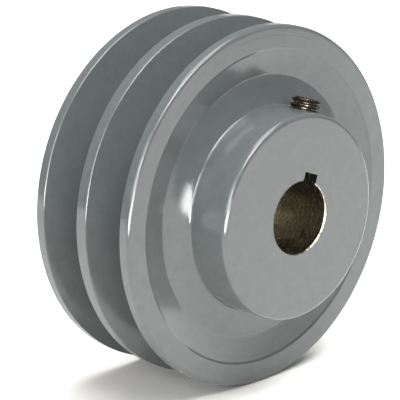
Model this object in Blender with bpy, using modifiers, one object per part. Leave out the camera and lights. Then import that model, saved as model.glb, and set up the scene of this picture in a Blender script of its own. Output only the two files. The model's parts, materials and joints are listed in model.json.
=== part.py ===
"""A two-groove, fixed-bore V-belt pulley: one iron casting, and the set screw that locks it to its shaft.

The bore's axis runs along Y and the hub stands out towards -Y. The origin is on that axis, midway along the
bore. The pulley stands on its three flanges, rolled a little, so that the keyway, and the set screw over it,
lean from +Z towards +X.
"""

import math

import bmesh
import bpy

INCH = 0.0254

# The rim and its belt grooves.
OUTER_RADIUS = 3.75 / 2 * INCH
GROOVE_COUNT = 2
GROOVE_PITCH = 5 / 8 * INCH
GROOVE_TOP_WIDTH = 0.494 * INCH
GROOVE_DEPTH = 0.49 * INCH
GROOVE_ANGLE = math.radians(34)
FACE_WIDTH = (1 + 3 / 8) * INCH
RIM_CORNER = 0.0010

# The hub, the bore and the keyway.
HUB_RADIUS = (2 + 1 / 8) / 2 * INCH
HUB_PROJECTION = 1 / 2 * INCH
HUB_CORNER = 0.0012
BORE_RADIUS = 3 / 4 / 2 * INCH
BORE_CHAMFER = 0.00025
KEYWAY_WIDTH = 3 / 16 * INCH
KEYWAY_FLOOR = 0.462 * INCH  # from the bore's axis
LEAN = math.radians(21)  # of the keyway and the set screw, from the top towards +X

# The shallow valley in each side, which drops over a small edge at the rim, falls, and rises again to the
# hub. In front it rises in a hollow curve, from one slope to another, and ends in a fillet against the hub.
VALLEY_RIM_RADIUS = 0.0418
VALLEY_RADIUS = 0.0349
VALLEY_DEPTH = 0.0018
EDGE_WIDTH = 0.0006
EDGE_DEPTH = 0.00025
WEB_START_SLOPE = math.radians(8)
WEB_END_SLOPE = math.radians(24.5)
HUB_FILLET = 0.0009
REAR_ROOT_DEPTH = 0.0004  # of the hub's root, below the rim's rear face

# The set screw, and the tapped hole it turns in.
SCREW_THREAD_RADIUS = 5 / 16 / 2 * INCH
SCREW_LENGTH = 1 / 2 * INCH
SCREW_PROUD = 0.0030  # of the hub, as it is stored
SCREW_FROM_RIM = 3 / 16 * INCH  # its axis, in front of the rim's face
SCREW_CHAMFER = 0.0007
CUP_RADIUS = 0.0020
CUP_DEPTH = 0.0010
SOCKET_ACROSS_FLATS = 5 / 32 * INCH
SOCKET_DEPTH = 0.0045
GAP = 0.0003

# How finely the round shapes are cut into flats.
TURNED_STEPS = 64
SCREW_STEPS = 32
ARC_STEPS = 2
WEB_STEPS = 3
MERGE = 0.00001

LENGTH = FACE_WIDTH + HUB_PROJECTION
HUB_FACE = LENGTH / 2
RIM_FRONT = HUB_FACE - HUB_PROJECTION
RIM_REAR = -LENGTH / 2


def clear_scene():
    """Remove everything that the file opened with."""
    for thing in list(bpy.data.objects):
        bpy.data.objects.remove(thing, do_unlink=True)


def new_collection(name):
    """Make a collection in the scene."""
    collection = bpy.data.collections.new(name)
    bpy.context.scene.collection.children.link(collection)
    return collection


def new_material(name, colour, metallic, roughness):
    """Make a plain Principled material."""
    material = bpy.data.materials.new(name)
    material.use_nodes = True
    shader = material.node_tree.nodes["Principled BSDF"]
    shader.inputs["Base Color"].default_value = (*colour, 1.0)
    shader.inputs["Metallic"].default_value = metallic
    shader.inputs["Roughness"].default_value = roughness
    return material


def round_corner(before, corner, after, radius):
    """The points of an arc of this radius that touches both sides of a corner."""
    x, z = corner
    to_before = math.atan2(before[1] - z, before[0] - x)
    to_after = math.atan2(after[1] - z, after[0] - x)
    opening = (to_after - to_before + math.pi) % (2 * math.pi) - math.pi
    to_centre = to_before + opening / 2
    reach = radius / math.sin(abs(opening) / 2)
    sweep = math.copysign(math.pi - abs(opening), opening)
    points = []
    for step in range(ARC_STEPS + 1):
        angle = to_centre + math.pi + sweep * (1 / 2 - step / ARC_STEPS)
        points.append(
            (
                x + reach * math.cos(to_centre) + radius * math.cos(angle),
                z + reach * math.sin(to_centre) + radius * math.sin(angle),
            )
        )
    return points


def outline_points(corners):
    """The points of an outline whose corners are (x, z) or, where they are rounded, (x, z, radius)."""
    points = []
    for index, corner in enumerate(corners):
        if len(corner) == 2:
            points.append(corner)
        else:
            before = corners[index - 1][:2]
            after = corners[(index + 1) % len(corners)][:2]
            points += round_corner(before, corner[:2], after, corner[2])
    return points


def groove_corners(centre):
    """One groove's four corners, from its front edge to its rear edge."""
    floor_radius = OUTER_RADIUS - GROOVE_DEPTH
    floor_width = GROOVE_TOP_WIDTH - 2 * GROOVE_DEPTH * math.tan(GROOVE_ANGLE / 2)
    return [
        (OUTER_RADIUS, centre + GROOVE_TOP_WIDTH / 2),
        (floor_radius, centre + floor_width / 2),
        (floor_radius, centre - floor_width / 2),
        (OUTER_RADIUS, centre - GROOVE_TOP_WIDTH / 2),
    ]


def web_curve():
    """The front of the web, from the hub's side out to the valley's floor but not onto it."""
    fillet_reach = HUB_FILLET * (1 - math.sin(WEB_END_SLOPE))
    web_radius = (VALLEY_RADIUS - HUB_RADIUS - fillet_reach) / (
        math.sin(WEB_END_SLOPE) - math.sin(WEB_START_SLOPE)
    )
    web = []
    for step in range(1, WEB_STEPS + 1):
        slope = WEB_START_SLOPE + (WEB_END_SLOPE - WEB_START_SLOPE) * step / WEB_STEPS
        x = VALLEY_RADIUS - web_radius * (math.sin(slope) - math.sin(WEB_START_SLOPE))
        z = web_radius * (math.cos(WEB_START_SLOPE) - math.cos(slope))
        web.append((x, RIM_FRONT - VALLEY_DEPTH + z))
    fillet_start = web[-1][1]
    for step in range(1, WEB_STEPS + 1):
        slope = WEB_END_SLOPE + (math.pi / 2 - WEB_END_SLOPE) * step / WEB_STEPS
        x = HUB_RADIUS + HUB_FILLET * (1 - math.sin(slope))
        z = HUB_FILLET * (math.cos(WEB_END_SLOPE) - math.cos(slope))
        web.append((x, fillet_start + z))
    return web[::-1]


def casting_corners():
    """The casting's half section as (radius, height), down its outer side from the hub's face."""
    rim_middle = (RIM_FRONT + RIM_REAR) / 2
    grooves = []
    for index in range(GROOVE_COUNT):
        grooves += groove_corners(rim_middle + ((GROOVE_COUNT - 1) / 2 - index) * GROOVE_PITCH)
    return [
        (BORE_RADIUS, HUB_FACE - BORE_CHAMFER),
        (BORE_RADIUS + BORE_CHAMFER, HUB_FACE),
        (HUB_RADIUS, HUB_FACE, HUB_CORNER),
        *web_curve(),
        (VALLEY_RADIUS, RIM_FRONT - VALLEY_DEPTH),
        (VALLEY_RIM_RADIUS - EDGE_WIDTH, RIM_FRONT - EDGE_DEPTH),
        (VALLEY_RIM_RADIUS, RIM_FRONT),
        (OUTER_RADIUS, RIM_FRONT, RIM_CORNER),
        *grooves,
        (OUTER_RADIUS, RIM_REAR, RIM_CORNER),
        (VALLEY_RIM_RADIUS, RIM_REAR),
        (VALLEY_RIM_RADIUS - EDGE_WIDTH, RIM_REAR + EDGE_DEPTH),
        (VALLEY_RADIUS, RIM_REAR + VALLEY_DEPTH),
        (HUB_RADIUS, RIM_REAR + REAR_ROOT_DEPTH),
        (HUB_RADIUS, RIM_REAR),
        (BORE_RADIUS + BORE_CHAMFER, RIM_REAR),
        (BORE_RADIUS, RIM_REAR + BORE_CHAMFER),
    ]


def screw_corners():
    """The set screw's half section as (radius, height), from its socket end at 0 down to its cup point."""
    body_radius = SCREW_THREAD_RADIUS - GAP
    return [
        (0, 0),
        (body_radius - SCREW_CHAMFER, 0),
        (body_radius, -SCREW_CHAMFER),
        (body_radius, -SCREW_LENGTH + SCREW_CHAMFER),
        (CUP_RADIUS, -SCREW_LENGTH),
        (0, -SCREW_LENGTH + CUP_DEPTH),
    ]


def turned(name, points, closed, steps, collection):
    """An object turned about its own Z axis from a profile in its XZ plane."""
    mesh = bpy.data.meshes.new(name)
    profile = bmesh.new()
    corners = [profile.verts.new((x, 0, z)) for x, z in points]
    for start, end in zip(corners, corners[1:]):
        profile.edges.new((start, end))
    if closed:
        profile.edges.new((corners[-1], corners[0]))
    profile.to_mesh(mesh)
    profile.free()
    thing = bpy.data.objects.new(name, mesh)
    collection.objects.link(thing)
    screw = thing.modifiers.new("Turn", "SCREW")
    screw.axis = "Z"
    screw.angle = 2 * math.pi
    screw.steps = steps
    screw.render_steps = steps
    screw.use_merge_vertices = True
    screw.merge_threshold = MERGE
    screw.use_smooth_shade = False
    return thing


def cutter(name, mesh_maker, collection):
    """An object that only cuts: seen as a wire, and left out of the model."""
    mesh = bpy.data.meshes.new(name)
    shape = bmesh.new()
    mesh_maker(shape)
    shape.to_mesh(mesh)
    shape.free()
    thing = bpy.data.objects.new(name, mesh)
    collection.objects.link(thing)
    thing.hide_render = True
    thing.display_type = "WIRE"
    return thing


def prism(radius, height, sides):
    """A maker of an upright prism or cylinder that stands on its own origin."""

    def make(shape):
        bmesh.ops.create_cone(
            shape, cap_ends=True, segments=sides, radius1=radius, radius2=radius, depth=height
        )
        bmesh.ops.translate(shape, verts=shape.verts, vec=(0, 0, height / 2))

    return make


def block(width, depth, height):
    """A maker of a block that stands on its own origin."""

    def make(shape):
        bmesh.ops.create_cube(shape, size=1)
        bmesh.ops.scale(shape, verts=shape.verts, vec=(width, depth, height))
        bmesh.ops.translate(shape, verts=shape.verts, vec=(0, 0, height / 2))

    return make


def cut(thing, tool):
    """Cut one object from another."""
    boolean = thing.modifiers.new("Cut " + tool.name, "BOOLEAN")
    boolean.operation = "DIFFERENCE"
    boolean.object = tool


def lean_outwards(thing, distance, along_axis):
    """Stand an object's Z axis on the leaning radius, at a distance from the bore's axis."""
    thing.location = (distance * math.sin(LEAN), along_axis, distance * math.cos(LEAN))
    thing.rotation_euler = (0, LEAN, 0)


def make_casting(parts, cutters):
    """The pulley itself: hub, web and rim in one casting, bored, keyed and tapped."""
    casting = turned(
        "pulley_casting", outline_points(casting_corners()), True, TURNED_STEPS, parts
    )
    casting.rotation_euler = (math.pi / 2, 0, 0)

    keyway = cutter("keyway_cutter", block(KEYWAY_WIDTH, 2 * LENGTH, KEYWAY_FLOOR), cutters)
    lean_outwards(keyway, 0, 0)
    cut(casting, keyway)

    hole_start = BORE_RADIUS / 2
    hole_length = HUB_RADIUS + SCREW_PROUD - hole_start
    hole = cutter(
        "screw_hole_cutter", prism(SCREW_THREAD_RADIUS, hole_length, SCREW_STEPS), cutters
    )
    lean_outwards(hole, hole_start, -(RIM_FRONT + SCREW_FROM_RIM))
    cut(casting, hole)

    casting.data.materials.append(new_material("grey_paint", (0.30, 0.33, 0.33), 0.0, 0.25))
    return casting


def make_set_screw(parts, cutters):
    """The socket set screw over the keyway, with its origin on the axis that it travels along."""
    screw = turned("set_screw", screw_corners(), False, SCREW_STEPS, parts)
    lean_outwards(screw, HUB_RADIUS + SCREW_PROUD, -(RIM_FRONT + SCREW_FROM_RIM))

    corner_radius = SOCKET_ACROSS_FLATS / 2 / math.cos(math.pi / 6)
    socket = cutter("socket_cutter", prism(corner_radius, 2 * SOCKET_DEPTH, 6), cutters)
    lean_outwards(
        socket, HUB_RADIUS + SCREW_PROUD - SOCKET_DEPTH, -(RIM_FRONT + SCREW_FROM_RIM)
    )
    cut(screw, socket)

    screw.data.materials.append(new_material("black_oxide", (0.04, 0.03, 0.025), 1.0, 0.4))
    return screw


def main():
    clear_scene()
    parts = new_collection("v_belt_pulley")
    cutters = new_collection("cutters")
    make_casting(parts, cutters)
    make_set_screw(parts, cutters)


main()
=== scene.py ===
"""The looks of the two-groove V-belt pulley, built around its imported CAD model.

The bore's axis runs along Y and the hub stands out towards -Y. A place on the casting is given by its
radius, and by its distance along the axis from mid-length towards the hub.
"""

import json
import math

import bmesh
import bpy
from mathutils import Matrix, Vector


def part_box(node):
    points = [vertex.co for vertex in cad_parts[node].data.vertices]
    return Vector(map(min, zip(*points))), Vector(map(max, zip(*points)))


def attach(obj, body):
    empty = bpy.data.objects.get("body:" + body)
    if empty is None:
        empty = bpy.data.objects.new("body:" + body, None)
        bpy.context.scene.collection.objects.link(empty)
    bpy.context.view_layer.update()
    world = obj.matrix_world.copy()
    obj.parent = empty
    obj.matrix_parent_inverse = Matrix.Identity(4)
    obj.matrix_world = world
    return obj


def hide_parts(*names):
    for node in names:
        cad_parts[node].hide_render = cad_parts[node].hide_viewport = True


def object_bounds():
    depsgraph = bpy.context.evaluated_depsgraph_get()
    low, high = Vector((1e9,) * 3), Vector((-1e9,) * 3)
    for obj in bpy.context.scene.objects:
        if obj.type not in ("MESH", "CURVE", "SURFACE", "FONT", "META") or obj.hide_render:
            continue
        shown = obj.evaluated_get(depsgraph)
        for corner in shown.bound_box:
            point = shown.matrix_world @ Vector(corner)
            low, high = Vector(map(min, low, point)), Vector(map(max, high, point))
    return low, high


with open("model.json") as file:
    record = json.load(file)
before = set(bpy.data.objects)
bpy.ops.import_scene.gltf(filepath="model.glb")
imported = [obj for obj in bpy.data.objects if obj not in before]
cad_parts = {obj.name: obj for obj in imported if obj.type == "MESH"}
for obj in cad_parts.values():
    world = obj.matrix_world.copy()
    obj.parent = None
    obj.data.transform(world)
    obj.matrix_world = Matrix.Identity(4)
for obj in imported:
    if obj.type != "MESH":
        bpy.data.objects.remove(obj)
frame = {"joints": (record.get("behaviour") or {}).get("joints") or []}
cad_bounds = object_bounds()

INCH = 0.0254

# The rim and its belt grooves.
CASTING_LOW, CASTING_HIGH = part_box("pulley_casting")
OUTER_RADIUS = (CASTING_HIGH.x - CASTING_LOW.x) / 2
LENGTH = CASTING_HIGH.y - CASTING_LOW.y
HUB_PROJECTION = 1 / 2 * INCH
HUB_FACE = LENGTH / 2
RIM_FRONT = HUB_FACE - HUB_PROJECTION
RIM_REAR = -LENGTH / 2
GROOVE_COUNT = 2
GROOVE_PITCH = 5 / 8 * INCH
GROOVE_TOP_WIDTH = 0.494 * INCH
GROOVE_DEPTH = 0.49 * INCH
GROOVE_ANGLE = math.radians(34)
RIM_CORNER = 0.0010
GROOVE_CORNER = 0.0004
GROOVE_FILLET = 0.0006

# The hub, the bore and the keyway.
HUB_RADIUS = (2 + 1 / 8) / 2 * INCH
HUB_CORNER = 0.0012
BORE_RADIUS = 3 / 4 / 2 * INCH
BORE_CHAMFER = 0.00025
KEYWAY_WIDTH = 3 / 16 * INCH
KEYWAY_FLOOR = 0.462 * INCH

# The shallow valley in each side, and in front the web's hollow rise from it to the hub.
VALLEY_RIM_RADIUS = 0.0418
VALLEY_RADIUS = 0.0349
VALLEY_DEPTH = 0.0018
VALLEY_FILLET = 0.0012
EDGE_WIDTH = 0.0006
EDGE_DEPTH = 0.00025
EDGE_ROUNDING = 0.0003
WEB_START_SLOPE = math.radians(8)
WEB_END_SLOPE = math.radians(24.5)
HUB_FILLET = 0.0009
REAR_ROOT_DEPTH = 0.0004
REAR_ROOT_FILLET = 0.0003

# The set screw, and the tapped hole it turns in.
SCREW_JOINT = next(joint for joint in frame["joints"] if joint["name"] == "set_screw_travel")
SCREW_AXIS = Vector(SCREW_JOINT["axis"]).normalized()
SCREW_FROM_RIM = 3 / 16 * INCH
SCREW_PROUD = 0.0030
SCREW_LENGTH = 1 / 2 * INCH
THREAD_RADIUS = 5 / 16 / 2 * INCH
THREAD_PITCH = INCH / 18
THREAD_CLEARANCE = 0.00006
EXTERNAL_DEPTH = 0.61 * THREAD_PITCH
INTERNAL_DEPTH = 0.45 * THREAD_PITCH
FLANK_ANGLE = math.pi / 6
SCREW_CHAMFER = 0.0007
SCREW_TOP_EDGE = 0.0001
POINT_CHAMFER = 2 * SCREW_CHAMFER
CUP_RADIUS = 0.0020
CUP_DEPTH = 0.0010
SOCKET_ACROSS_FLATS = 5 / 32 * INCH
SOCKET_CORNER_RADIUS = SOCKET_ACROSS_FLATS / 2 / math.cos(math.pi / 6)
SOCKET_DEPTH = 0.0045
SOCKET_CHAMFER = 0.0003
SOCKET_MOUTH_TIP = 0.00001
COUNTERSINK = 0.0005

# How finely the round shapes are cut, and how sharp an edge breaks the smooth shading.
TURNED_STEPS = 256
THREAD_STEPS = 64
SCREW_STEPS = 96
ARC_STEPS = 7
CURVE_STEPS = 2 * ARC_STEPS
HUB_RINGS = 12
FLOOR_STEPS = 96
SHARP_ANGLE = math.radians(28)

# The material slots: the casting has two finishes, and the set screw has one.
PAINTED = 0
BARE = 1
OXIDE = 0

WHITE = (1.0, 1.0, 1.0)

# The studio's lights: name, azimuth and elevation in degrees, width and height in metres, radiance, and
# whether it lights matt surfaces or only shows in the gloss.
LIGHT_DISTANCE = 0.9
SOFTBOXES = (
    ("tall_softbox", -42, 7, 0.36, 0.62, 16, False),
    ("low_softbox", -32, -6, 1.3, 0.18, 16, False),
    ("high_softbox", -18, 44, 0.55, 0.30, 12, False),
    ("overhead_softbox", -10, 62, 0.6, 0.35, 9, True),
    ("zenith_softbox", 160, 82, 0.6, 0.6, 5.5, True),
    ("back_softbox", 135, 4, 1.4, 0.22, 0.6, True),
    ("left_softbox", -80, 25, 0.7, 0.6, 3.6, True),
)

# One more softbox, which lights only the floor.
FLOOR_SOFTBOX = ("floor_softbox", 75, 58, 0.4, 0.4, 13.5, True)

# The floor: its radius, its straight edge on the front left, and its glow, which grows to full strength
# between two distances from its middle.
FLOOR_RADIUS = 0.5
FLOOR_EDGE = 0.2
FLOOR_EDGE_AZIMUTH = -45
FLOOR_GLOW = 0.2
FLOOR_GLOW_START = 0.06
FLOOR_GLOW_END = 0.3
FLOOR_GLOW_COLOUR = (0.97, 0.98, 1.0)

# The surround's brightness from the horizon down and overhead. The camera sees white instead.
WORLD_LOW = 0.25
WORLD_HIGH = 0.38

# The camera's lens in millimetres, the place it looks at, and where it stands from there.
CAMERA_SENSOR = 36
CAMERA_LENS = 207
CAMERA_TARGET = Vector((-0.0100, 0.0023, 0.0013))
CAMERA_AZIMUTH = -44.3
CAMERA_ELEVATION = 16.6
CAMERA_DISTANCE = 0.5952


# ---------------------------------------------------------------- outlines and meshes


def round_corner(before, corner, after, radius):
    """The points of an arc of this radius that touches both sides of a corner."""
    x, z = corner
    to_before = math.atan2(before[1] - z, before[0] - x)
    to_after = math.atan2(after[1] - z, after[0] - x)
    opening = (to_after - to_before + math.pi) % (2 * math.pi) - math.pi
    to_centre = to_before + opening / 2
    reach = radius / math.sin(abs(opening) / 2)
    sweep = math.copysign(math.pi - abs(opening), opening)
    points = []
    for step in range(ARC_STEPS + 1):
        angle = to_centre + math.pi + sweep * (1 / 2 - step / ARC_STEPS)
        points.append(
            (
                x + reach * math.cos(to_centre) + radius * math.cos(angle),
                z + reach * math.sin(to_centre) + radius * math.sin(angle),
            )
        )
    return points


def outline_points(corners):
    """The points of an outline of corners: (radius, along) or, if rounded, (radius, along, rounding)."""
    points = []
    for index, corner in enumerate(corners):
        if len(corner) == 2:
            points.append(corner)
        else:
            before = corners[index - 1][:2]
            after = corners[(index + 1) % len(corners)][:2]
            points += round_corner(before, corner[:2], after, corner[2])
    return points


def new_object(name, mesh_maker, materials):
    """An object whose mesh is made by a function that fills a bmesh."""
    mesh = bpy.data.meshes.new(name)
    for material in materials:
        mesh.materials.append(material)
    shape = bmesh.new()
    mesh_maker(shape)
    bmesh.ops.recalc_face_normals(shape, faces=shape.faces)
    for face in shape.faces:
        face.smooth = True
    shape.to_mesh(mesh)
    shape.free()
    thing = bpy.data.objects.new(name, mesh)
    bpy.context.scene.collection.objects.link(thing)
    return thing


def turn_closed(shape, points, steps, surface_at):
    """Turn a closed outline of (radius, along) round the Z axis, with each face's finish by its middle."""
    rings = []
    for step in range(steps):
        angle = 2 * math.pi * step / steps
        rings.append(
            [shape.verts.new((r * math.cos(angle), r * math.sin(angle), z)) for r, z in points]
        )
    count = len(points)
    for step, ring in enumerate(rings):
        following = rings[(step + 1) % steps]
        for index in range(count):
            after = (index + 1) % count
            face = shape.faces.new(
                (ring[index], ring[after], following[after], following[index])
            )
            middle = [(points[index][k] + points[after][k]) / 2 for k in range(2)]
            face.material_index = surface_at(middle)


def turn_open(shape, points, steps, surface):
    """Turn an outline that starts and ends on the Z axis."""
    tip = shape.verts.new((0, 0, points[0][1]))
    end = shape.verts.new((0, 0, points[-1][1]))
    inner = points[1:-1]
    rings = []
    for step in range(steps):
        angle = 2 * math.pi * step / steps
        rings.append(
            [shape.verts.new((r * math.cos(angle), r * math.sin(angle), z)) for r, z in inner]
        )
    for step, ring in enumerate(rings):
        following = rings[(step + 1) % steps]
        shape.faces.new((tip, ring[0], following[0]))
        for index in range(len(inner) - 1):
            shape.faces.new(
                (ring[index], ring[index + 1], following[index + 1], following[index])
            )
        shape.faces.new((ring[-1], end, following[-1]))
    for face in shape.faces:
        face.material_index = surface


def thread_profile(depth, growth):
    """One pitch of a 60 degree thread, as (height, radius), grown outwards by a clearance."""
    crest = THREAD_RADIUS + growth
    root = THREAD_RADIUS - depth + growth
    crest_half = THREAD_PITCH / 16
    flank = depth * math.tan(FLANK_ANGLE)
    root_start = crest_half + flank
    root_end = THREAD_PITCH - root_start
    return [
        (0, crest),
        (crest_half, crest),
        (root_start, root),
        (root_end, root),
        (THREAD_PITCH - crest_half, crest),
    ]


def make_thread(shape, depth, growth, bottom, top, surface):
    """A solid screw thread about the Z axis, which reaches past bottom and top, in step with height 0."""
    first_turn = math.floor(bottom / THREAD_PITCH) - 2
    last_turn = math.ceil(top / THREAD_PITCH) + 1
    profile = thread_profile(depth, growth)
    rows = []
    for step in range((last_turn - first_turn) * THREAD_STEPS + 1):
        turns = first_turn + step / THREAD_STEPS
        angle = 2 * math.pi * turns
        rows.append(
            [
                shape.verts.new(
                    (r * math.cos(angle), r * math.sin(angle), THREAD_PITCH * turns + height)
                )
                for height, r in profile
            ]
        )
    for step in range(len(rows) - 1):
        row, following = rows[step], rows[step + 1]
        for index in range(len(profile) - 1):
            shape.faces.new((row[index], following[index], following[index + 1], row[index + 1]))
        above = step + THREAD_STEPS
        if above + 1 < len(rows):
            shape.faces.new((row[-1], following[-1], rows[above + 1][0], rows[above][0]))
    close_end(shape, open_loop(rows[0][0]), THREAD_PITCH * (first_turn - 1))
    close_end(shape, open_loop(rows[-1][-1]), THREAD_PITCH * (last_turn + 2))
    for face in shape.faces:
        face.material_index = surface


def open_loop(start):
    """The edges of the open boundary that a vertex is on."""
    found = []
    waiting = [start]
    seen = {start}
    while waiting:
        vertex = waiting.pop()
        for edge in vertex.link_edges:
            if len(edge.link_faces) == 1:
                if edge not in found:
                    found.append(edge)
                other = edge.other_vert(vertex)
                if other not in seen:
                    seen.add(other)
                    waiting.append(other)
    return found


def close_end(shape, edges, height):
    """Close an open boundary with a cone up to a point on the Z axis."""
    tip = shape.verts.new((0, 0, height))
    for edge in edges:
        shape.faces.new((edge.verts[0], edge.verts[1], tip))


def boolean(thing, tool, operation):
    """Apply one exact Boolean operation, and remove the tool."""
    modifier = thing.modifiers.new("Cut", "BOOLEAN")
    modifier.operation = operation
    modifier.solver = "EXACT"
    modifier.object = tool
    modifier.material_mode = "INDEX"
    graph = bpy.context.evaluated_depsgraph_get()
    made = bpy.data.meshes.new_from_object(thing.evaluated_get(graph), depsgraph=graph)
    thing.modifiers.clear()
    thing.data = made
    bpy.data.objects.remove(tool)


def finish_shading(thing):
    """Smooth shading that breaks at sharp edges and keeps flat faces flat."""
    thing.data.shade_smooth()
    thing.data.set_sharp_from_angle(angle=SHARP_ANGLE)
    weighted = thing.modifiers.new("Flat faces", "WEIGHTED_NORMAL")
    weighted.mode = "FACE_AREA"
    weighted.weight = 100
    weighted.keep_sharp = True


def place_turned(thing):
    """Turn an object built about Z so that its Z axis points along -Y, towards the hub's face."""
    thing.data.transform(Matrix.Rotation(math.pi / 2, 4, "X"))


def place_on_screw_axis(thing, radius):
    """Stand an object built about Z on the set screw's axis, its origin at a radius from the bore's."""
    across = Vector((0, 1, 0))
    matrix = Matrix.Identity(3)
    matrix.col[0] = across.cross(SCREW_AXIS)
    matrix.col[1] = across
    matrix.col[2] = SCREW_AXIS
    centre = SCREW_AXIS * radius + Vector((0, -(RIM_FRONT + SCREW_FROM_RIM), 0))
    thing.data.transform(Matrix.Translation(centre) @ matrix.to_4x4())


# ---------------------------------------------------------------- the casting


def groove_corners(centre):
    """One groove's four corners, from its front edge to its rear edge."""
    floor_radius = OUTER_RADIUS - GROOVE_DEPTH
    floor_width = GROOVE_TOP_WIDTH - 2 * GROOVE_DEPTH * math.tan(GROOVE_ANGLE / 2)
    return [
        (OUTER_RADIUS, centre + GROOVE_TOP_WIDTH / 2, GROOVE_CORNER),
        (floor_radius, centre + floor_width / 2, GROOVE_FILLET),
        (floor_radius, centre - floor_width / 2, GROOVE_FILLET),
        (OUTER_RADIUS, centre - GROOVE_TOP_WIDTH / 2, GROOVE_CORNER),
    ]


def web_curve():
    """The front of the web from the hub's side out to the valley: a fillet, and then a wide hollow curve."""
    fillet_reach = HUB_FILLET * (1 - math.sin(WEB_END_SLOPE))
    web_radius = (VALLEY_RADIUS - HUB_RADIUS - fillet_reach) / (
        math.sin(WEB_END_SLOPE) - math.sin(WEB_START_SLOPE)
    )
    floor = RIM_FRONT - VALLEY_DEPTH
    points = []
    for step in range(1, CURVE_STEPS + 1):
        slope = WEB_START_SLOPE + (WEB_END_SLOPE - WEB_START_SLOPE) * step / CURVE_STEPS
        points.append(
            (
                VALLEY_RADIUS - web_radius * (math.sin(slope) - math.sin(WEB_START_SLOPE)),
                floor + web_radius * (math.cos(WEB_START_SLOPE) - math.cos(slope)),
            )
        )
    root = points[-1][1]
    for step in range(1, CURVE_STEPS + 1):
        slope = WEB_END_SLOPE + (math.pi / 2 - WEB_END_SLOPE) * step / CURVE_STEPS
        points.append(
            (
                HUB_RADIUS + HUB_FILLET * (1 - math.sin(slope)),
                root + HUB_FILLET * (math.cos(WEB_END_SLOPE) - math.cos(slope)),
            )
        )
    return points[::-1]


def hub_side(root):
    """Points down the hub's side to its root, which keep the shading even round the tapped hole."""
    top = HUB_FACE - 2 * HUB_CORNER
    return [
        (HUB_RADIUS, top + (root - top) * step / HUB_RINGS)
        for step in range(HUB_RINGS)
    ]


def casting_corners():
    """The casting's half section, down its outer side from the hub's face."""
    web = web_curve()
    rim_middle = (RIM_FRONT + RIM_REAR) / 2
    grooves = []
    for index in range(GROOVE_COUNT):
        grooves += groove_corners(rim_middle + ((GROOVE_COUNT - 1) / 2 - index) * GROOVE_PITCH)
    return [
        (BORE_RADIUS, HUB_FACE - BORE_CHAMFER),
        (BORE_RADIUS + BORE_CHAMFER, HUB_FACE),
        (HUB_RADIUS, HUB_FACE, HUB_CORNER),
        *hub_side(web[0][1]),
        *web,
        (VALLEY_RADIUS, RIM_FRONT - VALLEY_DEPTH),
        (VALLEY_RIM_RADIUS - EDGE_WIDTH, RIM_FRONT - EDGE_DEPTH, EDGE_ROUNDING),
        (VALLEY_RIM_RADIUS, RIM_FRONT, EDGE_ROUNDING),
        (OUTER_RADIUS, RIM_FRONT, RIM_CORNER),
        *grooves,
        (OUTER_RADIUS, RIM_REAR, RIM_CORNER),
        (VALLEY_RIM_RADIUS, RIM_REAR, EDGE_ROUNDING),
        (VALLEY_RIM_RADIUS - EDGE_WIDTH, RIM_REAR + EDGE_DEPTH, EDGE_ROUNDING),
        (VALLEY_RADIUS, RIM_REAR + VALLEY_DEPTH, VALLEY_FILLET),
        (HUB_RADIUS, RIM_REAR + REAR_ROOT_DEPTH, REAR_ROOT_FILLET),
        (HUB_RADIUS, RIM_REAR, REAR_ROOT_FILLET / 2),
        (BORE_RADIUS + BORE_CHAMFER, RIM_REAR),
        (BORE_RADIUS, RIM_REAR + BORE_CHAMFER),
    ]


def casting_surface(middle):
    """The finish of a face of the turned casting: the bore and its chamfers are bare."""
    if middle[0] < BORE_RADIUS + BORE_CHAMFER:
        return BARE
    return PAINTED


def keyway_block(shape):
    """The block that cuts the keyway, standing on the bore's axis."""
    bmesh.ops.create_cube(shape, size=1)
    bmesh.ops.scale(shape, verts=shape.verts, vec=(KEYWAY_WIDTH, 2 * LENGTH, KEYWAY_FLOOR))
    bmesh.ops.translate(shape, verts=shape.verts, vec=(0, 0, KEYWAY_FLOOR / 2))
    for face in shape.faces:
        face.material_index = BARE


def countersink_outline():
    """The cone that eases the mouth of the tapped hole, and the room that it needs beside the web."""
    mouth = THREAD_RADIUS + COUNTERSINK
    floor = THREAD_RADIUS - EXTERNAL_DEPTH
    return [
        (0, floor - mouth),
        (floor, floor - mouth),
        (mouth, 0),
        (mouth, SCREW_PROUD),
        (0, SCREW_PROUD),
    ]


def make_casting(materials):
    """The casting: turned, keyed and tapped."""
    points = outline_points(casting_corners())
    casting = new_object(
        "casting_painted",
        lambda shape: turn_closed(shape, points, TURNED_STEPS, casting_surface),
        materials,
    )
    place_turned(casting)

    keyway = new_object("keyway_tool", keyway_block, materials)
    lean = Vector((0, 0, 1)).rotation_difference(SCREW_AXIS)
    keyway.data.transform(lean.to_matrix().to_4x4())
    boolean(casting, keyway, "DIFFERENCE")

    inner_end = BORE_RADIUS - (HUB_RADIUS + SCREW_PROUD)
    limit_radius = 2 * THREAD_RADIUS
    tap = new_object(
        "tap_tool",
        lambda shape: make_thread(shape, INTERNAL_DEPTH, THREAD_CLEARANCE, inner_end, 0, BARE),
        materials,
    )
    limits = new_object(
        "tap_limits",
        lambda shape: turn_open(
            shape,
            [(0, inner_end), (limit_radius, inner_end), (limit_radius, 0), (0, 0)],
            SCREW_STEPS,
            BARE,
        ),
        materials,
    )
    boolean(tap, limits, "INTERSECT")
    place_on_screw_axis(tap, HUB_RADIUS + SCREW_PROUD)
    boolean(casting, tap, "DIFFERENCE")

    countersink = new_object(
        "countersink_tool",
        lambda shape: turn_open(shape, countersink_outline(), SCREW_STEPS, BARE),
        materials,
    )
    place_on_screw_axis(countersink, HUB_RADIUS)
    boolean(casting, countersink, "DIFFERENCE")

    finish_shading(casting)
    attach(casting, "pulley")
    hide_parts("pulley_casting")


# ---------------------------------------------------------------- the set screw


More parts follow.
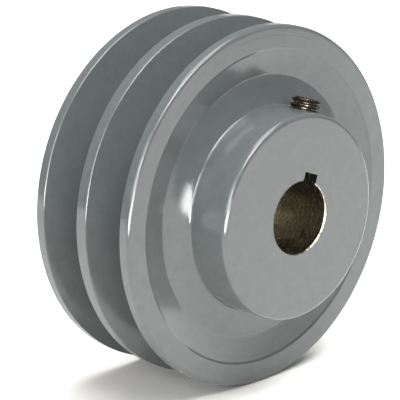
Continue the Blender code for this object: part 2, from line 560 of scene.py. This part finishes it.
def screw_outline():
    """The set screw's half section, from its socket end at 0 down to its cup point."""
    root = THREAD_RADIUS - EXTERNAL_DEPTH
    return [
        (0, 0),
        (root + SCREW_TOP_EDGE, 0),
        (THREAD_RADIUS, -SCREW_CHAMFER),
        (THREAD_RADIUS, -SCREW_LENGTH + POINT_CHAMFER),
        (CUP_RADIUS, -SCREW_LENGTH),
        (0, -SCREW_LENGTH + CUP_DEPTH),
    ]


def socket_prism(shape):
    """The hexagon socket, with its mouth at height 0."""
    bmesh.ops.create_cone(
        shape,
        cap_ends=True,
        segments=6,
        radius1=SOCKET_CORNER_RADIUS,
        radius2=SOCKET_CORNER_RADIUS,
        depth=2 * SOCKET_DEPTH,
    )


def socket_mouth_outline():
    """The cone that eases the mouth of the socket."""
    mouth_radius = SOCKET_CORNER_RADIUS + SOCKET_CHAMFER / 2
    return [
        (0, -mouth_radius),
        (SOCKET_MOUTH_TIP, -mouth_radius),
        (2 * mouth_radius, mouth_radius),
        (0, mouth_radius),
    ]


def make_set_screw(materials):
    """The socket set screw, with a real thread in step with the tapped hole's."""
    screw = new_object(
        "set_screw_threaded",
        lambda shape: make_thread(shape, EXTERNAL_DEPTH, 0, -SCREW_LENGTH, 0, OXIDE),
        materials,
    )
    blank = new_object(
        "screw_blank",
        lambda shape: turn_open(shape, screw_outline(), SCREW_STEPS, OXIDE),
        materials,
    )
    boolean(screw, blank, "INTERSECT")

    socket = new_object("socket_tool", socket_prism, materials)
    boolean(screw, socket, "DIFFERENCE")

    mouth = new_object(
        "socket_mouth_tool",
        lambda shape: turn_open(shape, socket_mouth_outline(), SCREW_STEPS, OXIDE),
        materials,
    )
    boolean(screw, mouth, "DIFFERENCE")
    place_on_screw_axis(screw, HUB_RADIUS + SCREW_PROUD)
    finish_shading(screw)
    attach(screw, "set_screw")
    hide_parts("set_screw")


# ---------------------------------------------------------------- materials


class Nodes:
    """A short way to lay out a material's nodes round its Principled shader."""

    def __init__(self, name):
        self.material = bpy.data.materials.new(name)
        self.material.use_nodes = True
        self.tree = self.material.node_tree
        self.shader = self.tree.nodes["Principled BSDF"]
        self.place = self.add("ShaderNodeTexCoord").outputs["Object"]

    def add(self, kind, **settings):
        """A new node with some of its settings and inputs given."""
        node = self.tree.nodes.new(kind)
        for key, value in settings.items():
            if key in node.inputs:
                node.inputs[key].default_value = value
            else:
                setattr(node, key, value)
        return node

    def link(self, output, target):
        """Join an output to an input."""
        self.tree.links.new(output, target)

    def noise(self, size, detail=2.0, roughness=0.5, place=None):
        """Noise whose features are about this size, in metres."""
        node = self.add("ShaderNodeTexNoise", Scale=1 / size, Detail=detail, Roughness=roughness)
        self.link(place or self.place, node.inputs["Vector"])
        return node.outputs["Fac"]

    def length(self, place):
        """How far a place is from the origin."""
        node = self.add("ShaderNodeVectorMath", operation="LENGTH")
        self.link(place, node.inputs[0])
        return node.outputs["Value"]

    def stretched(self, scale):
        """The place, stretched by a scale along each axis."""
        node = self.add("ShaderNodeMapping")
        node.inputs["Scale"].default_value = scale
        self.link(self.place, node.inputs["Vector"])
        return node.outputs["Vector"]

    def rings(self, size, detail=2.0, roughness=0.5):
        """Noise that is the same all round the Y axis, and changes with the distance from it."""
        node = self.add(
            "ShaderNodeTexNoise",
            noise_dimensions="1D",
            Scale=1 / size,
            Detail=detail,
            Roughness=roughness,
        )
        self.link(self.length(self.stretched((1, 0, 1))), node.inputs["W"])
        return node.outputs["Fac"]

    def ramp(self, value, stops):
        """A colour ramp with (position, colour) stops."""
        node = self.add("ShaderNodeValToRGB")
        elements = node.color_ramp.elements
        while len(elements) < len(stops):
            elements.new(0.5)
        for element, (position, colour) in zip(elements, stops):
            element.position = position
            element.color = (*colour, 1.0)
        self.link(value, node.inputs["Fac"])
        return node.outputs["Color"]

    def to_range(self, value, low, high, from_low=0.3, from_high=0.7):
        """A value moved into a range."""
        node = self.add("ShaderNodeMapRange")
        for name, number in (
            ("From Min", from_low),
            ("From Max", from_high),
            ("To Min", low),
            ("To Max", high),
        ):
            node.inputs[name].default_value = number
        self.link(value, node.inputs["Value"])
        return node.outputs["Result"]

    def bump(self, height, distance, below=None):
        """Bump from a height of 0 to 1 that stands for a distance in metres."""
        node = self.add("ShaderNodeBump", Strength=1.0, Distance=distance)
        self.link(height, node.inputs["Height"])
        if below is not None:
            self.link(below, node.inputs["Normal"])
        return node.outputs["Normal"]


def grey_paint():
    """Glossy grey machinery enamel over a machined casting."""
    nodes = Nodes("grey_paint_enamel")
    shader = nodes.shader
    shader.inputs["Metallic"].default_value = 0.0
    shader.inputs["IOR"].default_value = 1.56
    tone = nodes.noise(size=0.003, detail=6.0, roughness=0.75)
    nodes.link(
        nodes.ramp(tone, [(0.3, (0.108, 0.120, 0.121)), (0.7, (0.128, 0.140, 0.141))]),
        shader.inputs["Base Color"],
    )
    patches = nodes.noise(size=0.002, detail=3.0)
    nodes.link(nodes.to_range(patches, low=0.07, high=0.12), shader.inputs["Roughness"])
    waves = nodes.bump(nodes.noise(size=0.007), distance=0.00002)
    peel_height = nodes.noise(size=0.0009, detail=3.0, roughness=0.6)
    peel = nodes.bump(peel_height, distance=0.00001, below=waves)
    turning = nodes.bump(nodes.rings(size=0.0005, roughness=0.6), distance=0.000018, below=peel)
    nodes.link(turning, shader.inputs["Normal"])
    return nodes.material


def bare_iron():
    """Bare machined iron, with the boring tool's fine rings round the axis."""
    nodes = Nodes("bare_machined_iron")
    shader = nodes.shader
    shader.inputs["Metallic"].default_value = 1.0
    ring_place = nodes.stretched((0.12, 1.0, 0.12))
    rings = nodes.noise(size=0.00035, detail=3.0, roughness=0.7, place=ring_place)
    speckle_place = nodes.stretched((0.6, 1.0, 0.6))
    speckle = nodes.noise(size=0.0005, detail=4.0, roughness=0.85, place=speckle_place)
    nodes.link(
        nodes.ramp(
            speckle,
            [(0.38, (0.09, 0.08, 0.058)), (0.5, (0.27, 0.25, 0.19)), (0.64, (0.72, 0.66, 0.53))],
        ),
        shader.inputs["Base Color"],
    )
    nodes.link(nodes.to_range(rings, low=0.16, high=0.32), shader.inputs["Roughness"])
    nodes.link(nodes.bump(rings, distance=0.00002), shader.inputs["Normal"])
    return nodes.material


def black_oxide():
    """Black oxide on steel, browned with oil, with bright speckles in its colour that are painted glints."""
    nodes = Nodes("black_oxide_steel")
    shader = nodes.shader
    shader.inputs["Metallic"].default_value = 1.0
    # The speckle varies the dark tone at random, and its bright end paints glints on the steel.
    speckle = nodes.noise(size=0.0005, detail=4.0, roughness=0.65)
    nodes.link(
        nodes.ramp(
            speckle,
            [(0.42, (0.022, 0.018, 0.014)), (0.56, (0.075, 0.060, 0.045)), (0.68, (0.42, 0.37, 0.31))],
        ),
        shader.inputs["Base Color"],
    )
    nodes.link(nodes.to_range(speckle, low=0.45, high=0.3), shader.inputs["Roughness"])
    grain = nodes.noise(size=0.0003, detail=3.0)
    nodes.link(nodes.bump(grain, distance=0.00002), shader.inputs["Normal"])
    return nodes.material


def floor_surface():
    """White studio floor with a painted glow, which makes it a little brighter away from the pulley."""
    nodes = Nodes("studio_floor")
    shader = nodes.shader
    shader.inputs["Roughness"].default_value = 0.9
    shader.inputs["Specular IOR Level"].default_value = 0.0
    tone = nodes.noise(size=0.05)
    nodes.link(
        nodes.ramp(tone, [(0.3, (0.90, 0.885, 0.86)), (0.7, (0.905, 0.89, 0.865))]),
        shader.inputs["Base Color"],
    )
    # The emission is painted light: a glow that grows with the distance from the floor's middle.
    shader.inputs["Emission Color"].default_value = (*FLOOR_GLOW_COLOUR, 1.0)
    away = nodes.length(nodes.place)
    glow = nodes.to_range(away, 0, FLOOR_GLOW, FLOOR_GLOW_START, FLOOR_GLOW_END)
    nodes.link(glow, shader.inputs["Emission Strength"])
    return nodes.material


# ---------------------------------------------------------------- the studio


def direction(azimuth, elevation):
    """The unit vector towards an azimuth, where 0 is -Y and -90 is -X, and an elevation, in degrees."""
    a, e = math.radians(azimuth), math.radians(elevation)
    return Vector((math.sin(a) * math.cos(e), -math.cos(a) * math.cos(e), math.sin(e)))


def floor_disc(shape):
    """A disc that ends in a straight edge on the front left."""
    bmesh.ops.create_circle(shape, cap_ends=True, segments=FLOOR_STEPS, radius=FLOOR_RADIUS)
    outwards = direction(FLOOR_EDGE_AZIMUTH, 0)
    bmesh.ops.bisect_plane(
        shape,
        geom=shape.verts[:] + shape.edges[:] + shape.faces[:],
        plane_co=outwards * FLOOR_EDGE,
        plane_no=outwards,
        clear_outer=True,
    )


def make_floor():
    """The white floor under the pulley."""
    floor = new_object("studio_floor", floor_disc, [floor_surface()])
    floor.location = (0, 0, cad_bounds[0].z)
    return floor


def make_softbox(name, azimuth, elevation, width, height, radiance, lights_matt):
    """A rectangular soft light that faces the pulley, or one that only shows in its gloss."""
    light = bpy.data.lights.new(name, "AREA")
    light.shape = "RECTANGLE"
    light.size = width
    light.size_y = height
    light.energy = radiance * math.pi * width * height
    light.color = WHITE
    thing = bpy.data.objects.new(name, light)
    bpy.context.scene.collection.objects.link(thing)
    thing.location = direction(azimuth, elevation) * LIGHT_DISTANCE
    thing.rotation_mode = "QUATERNION"
    thing.rotation_quaternion = direction(azimuth, elevation).to_track_quat("Z", "Y")
    thing.visible_camera = False
    thing.visible_diffuse = lights_matt
    return thing


def make_world():
    """A dim surround, a little brighter overhead, that the camera sees as plain white."""
    world = bpy.data.worlds.new("studio")
    world.use_nodes = True
    bpy.context.scene.world = world
    tree = world.node_tree
    place = tree.nodes.new("ShaderNodeTexCoord")
    split = tree.nodes.new("ShaderNodeSeparateXYZ")
    ramp = tree.nodes.new("ShaderNodeValToRGB")
    tree.links.new(place.outputs["Generated"], split.inputs["Vector"])
    tree.links.new(split.outputs["Z"], ramp.inputs["Fac"])
    elements = ramp.color_ramp.elements
    elements[0].color = (WORLD_LOW, WORLD_LOW, WORLD_LOW, 1.0)
    elements[1].color = (WORLD_HIGH, WORLD_HIGH, WORLD_HIGH, 1.0)
    ray = tree.nodes.new("ShaderNodeLightPath")
    seen = tree.nodes.new("ShaderNodeMix")
    seen.data_type = "RGBA"
    seen.inputs["B"].default_value = (*WHITE, 1.0)
    tree.links.new(ray.outputs["Is Camera Ray"], seen.inputs["Factor"])
    tree.links.new(ramp.outputs["Color"], seen.inputs["A"])
    tree.links.new(seen.outputs["Result"], tree.nodes["Background"].inputs["Color"])


def make_camera():
    """A long lens that looks at the hub's face from its left and from a little above."""
    camera = bpy.data.objects.new("camera", bpy.data.cameras.new("camera"))
    bpy.context.scene.collection.objects.link(camera)
    bpy.context.scene.camera = camera
    camera.data.sensor_width = CAMERA_SENSOR
    camera.data.lens = CAMERA_LENS
    camera.data.clip_start = 0.05
    camera.data.clip_end = 20
    back = direction(CAMERA_AZIMUTH, CAMERA_ELEVATION)
    camera.location = CAMERA_TARGET + back * CAMERA_DISTANCE
    camera.rotation_mode = "QUATERNION"
    camera.rotation_quaternion = back.to_track_quat("Z", "Y")


def make_studio():
    """The floor, the lights and the camera."""
    floor = make_floor()
    make_world()
    for softbox in SOFTBOXES:
        make_softbox(*softbox)
    only_floor = bpy.data.collections.new("only_floor")
    only_floor.objects.link(floor)
    make_softbox(*FLOOR_SOFTBOX).light_linking.receiver_collection = only_floor
    make_camera()
    bpy.context.scene.view_settings.view_transform = "Standard"


iron = [grey_paint(), bare_iron()]
make_casting(iron)
make_set_screw([black_oxide()])
make_studio()
